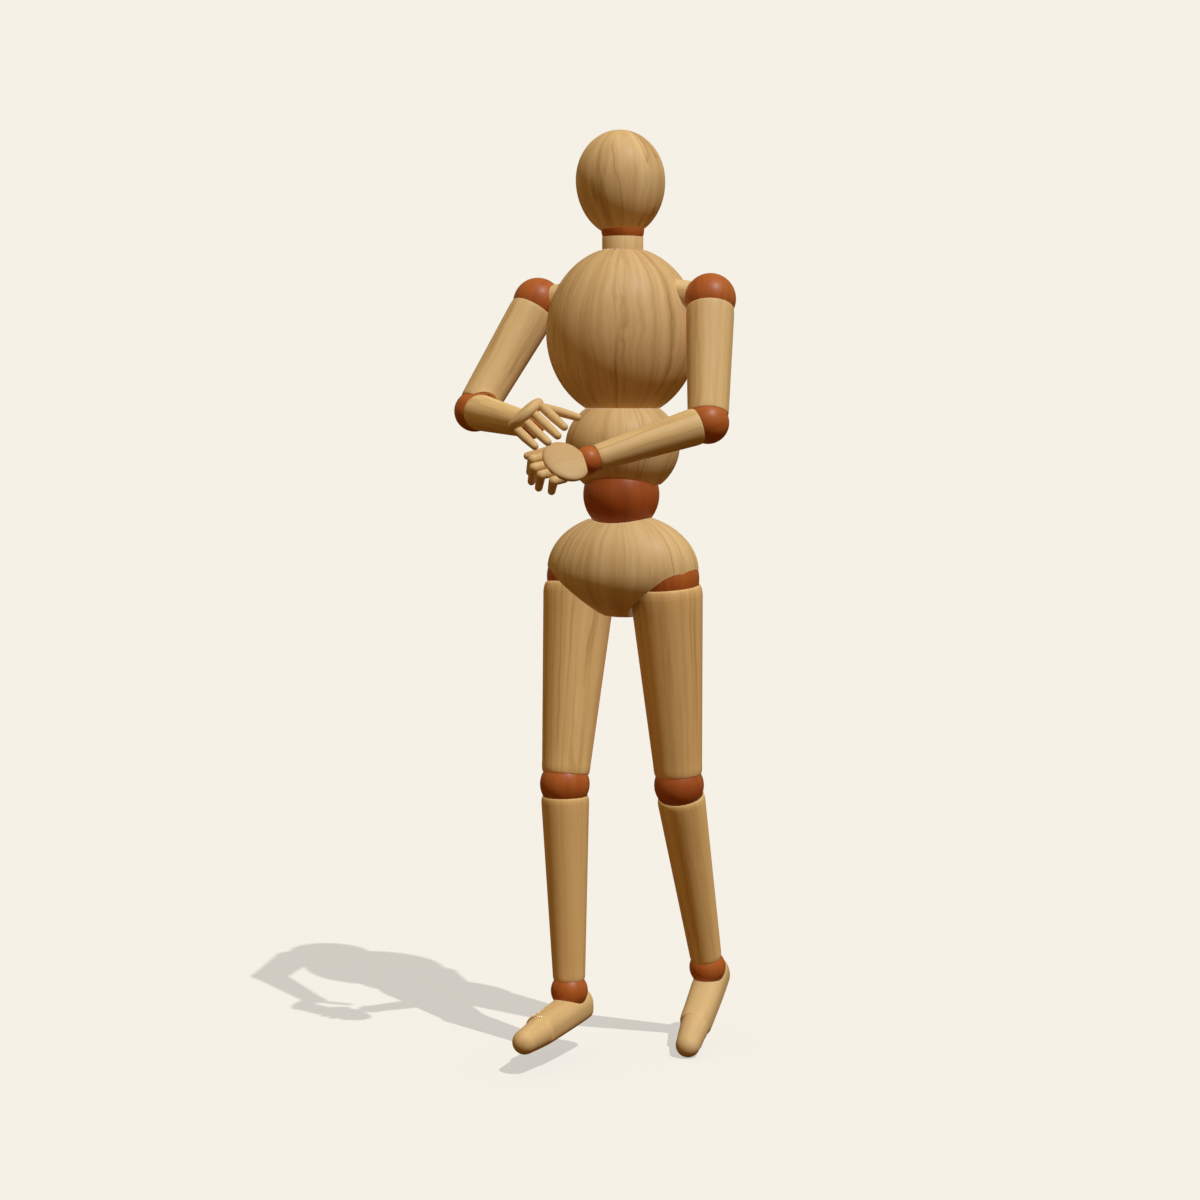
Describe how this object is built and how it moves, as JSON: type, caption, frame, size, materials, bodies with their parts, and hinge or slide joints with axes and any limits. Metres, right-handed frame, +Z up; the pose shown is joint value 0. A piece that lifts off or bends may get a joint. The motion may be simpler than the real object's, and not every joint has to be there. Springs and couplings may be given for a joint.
{
  "type": "jointed wooden artist mannequin",
  "caption": "Posable artist's drawing figure of pale turned wood with red-brown ball joints, standing as posed on the tip of one foot with both hands in front of the waist.",
  "frame": {"origin": "on the surface the figure stands on, under the middle of its bounding box", "axes": "+Z up along the body, -Y the way the figure faces, +X to the figure's own left"},
  "size_m": [0.1238, 0.1378, 0.4009],
  "materials": {
    "pale_wood": "sanded pale hardwood, satin",
    "red_wood": "stained red-brown hardwood, satin",
    "spring_steel": "plain drawn steel wire"
  },
  "bodies": {
    "pelvis": {"pelvis": "pale_wood"},
    "waist_ball": {"waist_ball": "red_wood"},
    "abdomen": {"abdomen": "pale_wood", "waist_spring": "spring_steel"},
    "chest": {"chest": "pale_wood", "shoulder_spring": "spring_steel", "neck_spring": "spring_steel"},
    "neck": {"neck": "pale_wood"},
    "neck_ball": {"neck_ball": "red_wood"},
    "head": {"head": "pale_wood"},
    "left_shoulder_stub": {"left_shoulder_stub": "pale_wood"},
    "left_shoulder_ball": {"left_shoulder_ball": "red_wood"},
    "left_upper_arm": {"left_upper_arm": "pale_wood"},
    "left_elbow_ball": {"left_elbow_ball": "red_wood"},
    "left_forearm": {"left_forearm": "pale_wood"},
    "left_wrist_ball": {"left_wrist_ball": "red_wood"},
    "left_palm": {"left_palm": "pale_wood"},
    "left_index_base": {"left_index_base": "pale_wood"},
    "left_index_tip": {"left_index_tip": "pale_wood"},
    "left_middle_base": {"left_middle_base": "pale_wood"},
    "left_middle_tip": {"left_middle_tip": "pale_wood"},
    "left_ring_base": {"left_ring_base": "pale_wood"},
    "left_ring_tip": {"left_ring_tip": "pale_wood"},
    "left_little_base": {"left_little_base": "pale_wood"},
    "left_little_tip": {"left_little_tip": "pale_wood"},
    "left_thumb_base": {"left_thumb_base": "pale_wood"},
    "left_thumb_tip": {"left_thumb_tip": "pale_wood"},
    "left_hip_ball": {"left_hip_ball": "red_wood"},
    "left_thigh": {"left_thigh": "pale_wood"},
    "left_knee_ball": {"left_knee_ball": "red_wood"},
    "left_shin": {"left_shin": "pale_wood"},
    "left_ankle_ball": {"left_ankle_ball": "red_wood"},
    "left_foot": {"left_foot": "pale_wood"},
    "left_toe": {"left_toe": "pale_wood"},
    "right_shoulder_stub": {"right_shoulder_stub": "pale_wood"},
    "right_shoulder_ball": {"right_shoulder_ball": "red_wood"},
    "right_upper_arm": {"right_upper_arm": "pale_wood"},
    "right_elbow_ball": {"right_elbow_ball": "red_wood"},
    "right_forearm": {"right_forearm": "pale_wood"},
    "right_wrist_ball": {"right_wrist_ball": "red_wood"},
    "right_palm": {"right_palm": "pale_wood"},
    "right_index_base": {"right_index_base": "pale_wood"},
    "right_index_tip": {"right_index_tip": "pale_wood"},
    "right_middle_base": {"right_middle_base": "pale_wood"},
    "right_middle_tip": {"right_middle_tip": "pale_wood"},
    "right_ring_base": {"right_ring_base": "pale_wood"},
    "right_ring_tip": {"right_ring_tip": "pale_wood"},
    "right_little_base": {"right_little_base": "pale_wood"},
    "right_little_tip": {"right_little_tip": "pale_wood"},
    "right_thumb_base": {"right_thumb_base": "pale_wood"},
    "right_thumb_tip": {"right_thumb_tip": "pale_wood"},
    "right_hip_ball": {"right_hip_ball": "red_wood"},
    "right_thigh": {"right_thigh": "pale_wood"},
    "right_knee_ball": {"right_knee_ball": "red_wood"},
    "right_shin": {"right_shin": "pale_wood"},
    "right_ankle_ball": {"right_ankle_ball": "red_wood"},
    "right_foot": {"right_foot": "pale_wood"},
    "right_toe": {"right_toe": "pale_wood"}
  },
  "joints": [
    {"name": "waist_bend", "type": "hinge", "parent": "pelvis", "child": "waist_ball", "pos_m": [0.00284, 0.01219, 0.24468], "axis": [1, 0, 0], "range_deg": [-20, 20]},
    {"name": "waist_lean", "type": "hinge", "parent": "waist_ball", "child": "abdomen", "pos_m": [0.00284, 0.01219, 0.24468], "axis": [0, 1, 0], "range_deg": [-15, 15]},
    {"name": "chest_turn", "type": "hinge", "parent": "abdomen", "child": "chest", "pos_m": [0.00284, 0.01339, 0.31388], "axis": [0, 0, 1], "range_deg": [-30, 30]},
    {"name": "neck_turn", "type": "hinge", "parent": "chest", "child": "neck", "pos_m": [0.00284, 0.01339, 0.34918], "axis": [0, 0, 1], "range_deg": [-60, 60]},
    {"name": "head_nod", "type": "hinge", "parent": "neck", "child": "neck_ball", "pos_m": [0.00284, 0.01339, 0.35798], "axis": [1, 0, 0], "range_deg": [-15, 15]},
    {"name": "head_tilt", "type": "hinge", "parent": "neck_ball", "child": "head", "pos_m": [0.00284, 0.01339, 0.35798], "axis": [0, 1, 0], "range_deg": [-12, 12]},
    {"name": "left_shoulder_swing", "type": "hinge", "parent": "chest", "child": "left_shoulder_stub", "pos_m": [0.04394, 0.01339, 0.32758], "axis": [0.9877, 0, -0.1564], "range_deg": [0, 18]},
    {"name": "left_shoulder_raise", "type": "hinge", "parent": "left_shoulder_stub", "child": "left_shoulder_ball", "pos_m": [0.04394, 0.01339, 0.32758], "axis": [-0.0666, 0.9048, -0.4205], "range_deg": [-60, 0]},
    {"name": "left_upper_arm_twist", "type": "hinge", "parent": "left_shoulder_ball", "child": "left_upper_arm", "pos_m": [0.04394, 0.01339, 0.32758], "axis": [-0.1654, 0.4056, 0.8989], "range_deg": [-35, 0]},
    {"name": "left_elbow_bend", "type": "hinge", "parent": "left_upper_arm", "child": "left_elbow_ball", "pos_m": [0.05349, -0.01001, 0.27571], "axis": [0.5367, -0.7277, 0.4271], "range_deg": [-3, 50]},
    {"name": "left_forearm_twist", "type": "hinge", "parent": "left_elbow_ball", "child": "left_forearm", "pos_m": [0.05349, -0.01001, 0.27571], "axis": [0.6851, 0.6713, 0.2827], "range_deg": [-40, 15]},
    {"name": "left_wrist_bend", "type": "hinge", "parent": "left_forearm", "child": "left_wrist_ball", "pos_m": [0.0167, -0.04606, 0.26053], "axis": [-0.6392, 0.3679, 0.6754], "range_deg": [-40, 5]},
    {"name": "left_wrist_tilt", "type": "hinge", "parent": "left_wrist_ball", "child": "left_palm", "pos_m": [0.0167, -0.04606, 0.26053], "axis": [0.4779, -0.498, 0.7236], "range_deg": [-15, 15]},
    {"name": "left_index_bend", "type": "hinge", "parent": "left_palm", "child": "left_index_base", "pos_m": [0.00341, -0.05853, 0.26239], "axis": [-0.6902, 0.2966, 0.66], "range_deg": [-30, 16]},
    {"name": "left_index_tip_bend", "type": "hinge", "parent": "left_index_base", "child": "left_index_tip", "pos_m": [0.00001, -0.06362, 0.26113], "axis": [-0.6902, 0.2966, 0.66], "range_deg": [-18, 40]},
    {"name": "left_middle_bend", "type": "hinge", "parent": "left_palm", "child": "left_middle_base", "pos_m": [0.00584, -0.06093, 0.25912], "axis": [-0.6902, 0.2966, 0.66], "range_deg": [-30, 16]},
    {"name": "left_middle_tip_bend", "type": "hinge", "parent": "left_middle_base", "child": "left_middle_tip", "pos_m": [0.00223, -0.06635, 0.25778], "axis": [-0.6902, 0.2966, 0.66], "range_deg": [-18, 40]},
    {"name": "left_ring_bend", "type": "hinge", "parent": "left_palm", "child": "left_ring_base", "pos_m": [0.00924, -0.06197, 0.25617], "axis": [-0.6902, 0.2966, 0.66], "range_deg": [-30, 16]},
    {"name": "left_ring_tip_bend", "type": "hinge", "parent": "left_ring_base", "child": "left_ring_tip", "pos_m": [0.00584, -0.06706, 0.25491], "axis": [-0.6902, 0.2966, 0.66], "range_deg": [-18, 40]},
    {"name": "left_little_bend", "type": "hinge", "parent": "left_palm", "child": "left_little_base", "pos_m": [0.01341, -0.06177, 0.25355], "axis": [-0.6902, 0.2966, 0.66], "range_deg": [-30, 16]},
    {"name": "left_little_tip_bend", "type": "hinge", "parent": "left_little_base", "child": "left_little_tip", "pos_m": [0.01077, -0.06573, 0.25257], "axis": [-0.6902, 0.2966, 0.66], "range_deg": [-18, 40]},
    {"name": "left_thumb_bend", "type": "hinge", "parent": "left_palm", "child": "left_thumb_base", "pos_m": [0.00729, -0.05097, 0.26503], "axis": [-0.6902, 0.2966, 0.66], "range_deg": [-30, 14]},
    {"name": "left_thumb_tip_bend", "type": "hinge", "parent": "left_thumb_base", "child": "left_thumb_tip", "pos_m": [0.0013, -0.05415, 0.26408], "axis": [-0.391, 0.5077, 0.7677], "range_deg": [-40, 8]},
    {"name": "left_hip_swing", "type": "hinge", "parent": "pelvis", "child": "left_hip_ball", "pos_m": [0.02334, 0.01339, 0.20898], "axis": [1, 0, 0], "range_deg": [-16, 16]},
    {"name": "left_hip_spread", "type": "hinge", "parent": "left_hip_ball", "child": "left_thigh", "pos_m": [0.02334, 0.01339, 0.20898], "axis": [0, 0.9952, 0.0976], "range_deg": [-20, 0]},
    {"name": "left_knee_bend", "type": "hinge", "parent": "left_thigh", "child": "left_knee_ball", "pos_m": [0.02587, 0.02223, 0.11885], "axis": [0.9996, -0.0027, 0.0278], "range_deg": [-14, 35]},
    {"name": "left_shin_twist", "type": "hinge", "parent": "left_knee_ball", "child": "left_shin", "pos_m": [0.02587, 0.02223, 0.11885], "axis": [-0.0027, -0.3321, 0.9432], "range_deg": [-30, 30]},
    {"name": "left_ankle_bend", "type": "hinge", "parent": "left_shin", "child": "left_ankle_ball", "pos_m": [0.02612, 0.05248, 0.03292], "axis": [1, 0.0054, 0.0047], "range_deg": [-25, 25]},
    {"name": "left_foot_roll", "type": "hinge", "parent": "left_ankle_ball", "child": "left_foot", "pos_m": [0.02612, 0.05248, 0.03292], "axis": [-0.1321, 0.8798, 0.4565], "range_deg": [-15, 15]},
    {"name": "left_toe_bend", "type": "hinge", "parent": "left_foot", "child": "left_toe", "pos_m": [0.0293, 0.03279, 0.01156], "axis": [0.9902, 0.1382, 0.0202], "range_deg": [-22, 0]},
    {"name": "right_shoulder_swing", "type": "hinge", "parent": "chest", "child": "right_shoulder_stub", "pos_m": [-0.03826, 0.01339, 0.32758], "axis": [0.9877, 0, 0.1564], "range_deg": [-80, 0]},
    {"name": "right_shoulder_raise", "type": "hinge", "parent": "right_shoulder_stub", "child": "right_shoulder_ball", "pos_m": [-0.03826, 0.01339, 0.32758], "axis": [0.0873, 0.83, -0.5509], "range_deg": [-6, 60]},
    {"name": "right_upper_arm_twist", "type": "hinge", "parent": "right_shoulder_ball", "child": "right_upper_arm", "pos_m": [-0.03826, 0.01339, 0.32758], "axis": [0.2597, 0.5149, 0.817], "range_deg": [-45, 0]},
    {"name": "right_elbow_bend", "type": "hinge", "parent": "right_upper_arm", "child": "right_elbow_ball", "pos_m": [-0.05324, -0.01632, 0.28045], "axis": [0.4216, 0.7007, -0.5756], "range_deg": [-13, 6]},
    {"name": "right_forearm_twist", "type": "hinge", "parent": "right_elbow_ball", "child": "right_forearm", "pos_m": [-0.05324, -0.01632, 0.28045], "axis": [-0.8105, 0.5758, 0.1073], "range_deg": [-12, 35]},
    {"name": "right_wrist_bend", "type": "hinge", "parent": "right_forearm", "child": "right_wrist_ball", "pos_m": [-0.00972, -0.04724, 0.27469], "axis": [-0.4981, -0.5813, -0.6433], "range_deg": [-3, 40]},
    {"name": "right_wrist_tilt", "type": "hinge", "parent": "right_wrist_ball", "child": "right_palm", "pos_m": [-0.00972, -0.04724, 0.27469], "axis": [-0.6035, -0.3002, 0.7386], "range_deg": [-12, 20]},
    {"name": "right_index_bend", "type": "hinge", "parent": "right_palm", "child": "right_index_base", "pos_m": [0.00264, -0.05879, 0.28171], "axis": [-0.5894, -0.4559, -0.6669], "range_deg": [-30, 28]},
    {"name": "right_index_tip_bend", "type": "hinge", "parent": "right_index_base", "child": "right_index_tip", "pos_m": [0.00761, -0.05997, 0.27812], "axis": [-0.5894, -0.4559, -0.6669], "range_deg": [-40, 12]},
    {"name": "right_middle_bend", "type": "hinge", "parent": "right_palm", "child": "right_middle_base", "pos_m": [0.00065, -0.06195, 0.2788], "axis": [-0.5894, -0.4559, -0.6669], "range_deg": [-28, 26]},
    {"name": "right_middle_tip_bend", "type": "hinge", "parent": "right_middle_base", "child": "right_middle_tip", "pos_m": [0.00595, -0.06321, 0.27498], "axis": [-0.5894, -0.4559, -0.6669], "range_deg": [-40, 12]},
    {"name": "right_ring_bend", "type": "hinge", "parent": "right_palm", "child": "right_ring_base", "pos_m": [-0.00228, -0.06371, 0.2757], "axis": [-0.5894, -0.4559, -0.6669], "range_deg": [-14, 25]},
    {"name": "right_ring_tip_bend", "type": "hinge", "parent": "right_ring_base", "child": "right_ring_tip", "pos_m": [0.0027, -0.0649, 0.2721], "axis": [-0.5894, -0.4559, -0.6669], "range_deg": [-40, 12]},
    {"name": "right_little_bend", "type": "hinge", "parent": "right_palm", "child": "right_little_base", "pos_m": [-0.00598, -0.0642, 0.27247], "axis": [-0.5894, -0.4559, -0.6669], "range_deg": [-10, 28]},
    {"name": "right_little_tip_bend", "type": "hinge", "parent": "right_little_base", "child": "right_little_tip", "pos_m": [-0.00211, -0.06512, 0.26969], "axis": [-0.5894, -0.4559, -0.6669], "range_deg": [-40, 12]},
    {"name": "right_thumb_bend", "type": "hinge", "parent": "right_palm", "child": "right_thumb_base", "pos_m": [-0.00132, -0.05082, 0.28171], "axis": [-0.5894, -0.4559, -0.6669], "range_deg": [-30, 22]},
    {"name": "right_thumb_tip_bend", "type": "hinge", "parent": "right_thumb_base", "child": "right_thumb_tip", "pos_m": [0.00532, -0.05013, 0.28019], "axis": [-0.1519, -0.4627, -0.8734], "range_deg": [-40, 8]},
    {"name": "right_hip_swing", "type": "hinge", "parent": "pelvis", "child": "right_hip_ball", "pos_m": [-0.01766, 0.01339, 0.20898], "axis": [1, 0, 0], "range_deg": [-16, 16]},
    {"name": "right_hip_spread", "type": "hinge", "parent": "right_hip_ball", "child": "right_thigh", "pos_m": [-0.01766, 0.01339, 0.20898], "axis": [0, 0.9912, -0.1323], "range_deg": [0, 20]},
    {"name": "right_knee_bend", "type": "hinge", "parent": "right_thigh", "child": "right_knee_ball", "pos_m": [-0.01908, 0.00141, 0.11919], "axis": [0.9999, -0.0021, -0.0156], "range_deg": [-8, 40]},
    {"name": "right_shin_twist", "type": "hinge", "parent": "right_knee_ball", "child": "right_shin", "pos_m": [-0.01908, 0.00141, 0.11919], "axis": [-0.0159, -0.0139, 0.9998], "range_deg": [-30, 30]},
    {"name": "right_ankle_bend", "type": "hinge", "parent": "right_shin", "child": "right_ankle_ball", "pos_m": [-0.01764, 0.00268, 0.02811], "axis": [0.9999, -0.0025, 0.0158], "range_deg": [-25, 25]},
    {"name": "right_foot_roll", "type": "hinge", "parent": "right_ankle_ball", "child": "right_foot", "pos_m": [-0.01764, 0.00268, 0.02811], "axis": [0.0149, 0.9953, 0.0959], "range_deg": [-15, 15]},
    {"name": "right_toe_bend", "type": "hinge", "parent": "right_foot", "child": "right_toe", "pos_m": [-0.01796, -0.02374, 0.01562], "axis": [0.9998, -0.0157, 0.0076], "range_deg": [-22, 0]}
  ]
}
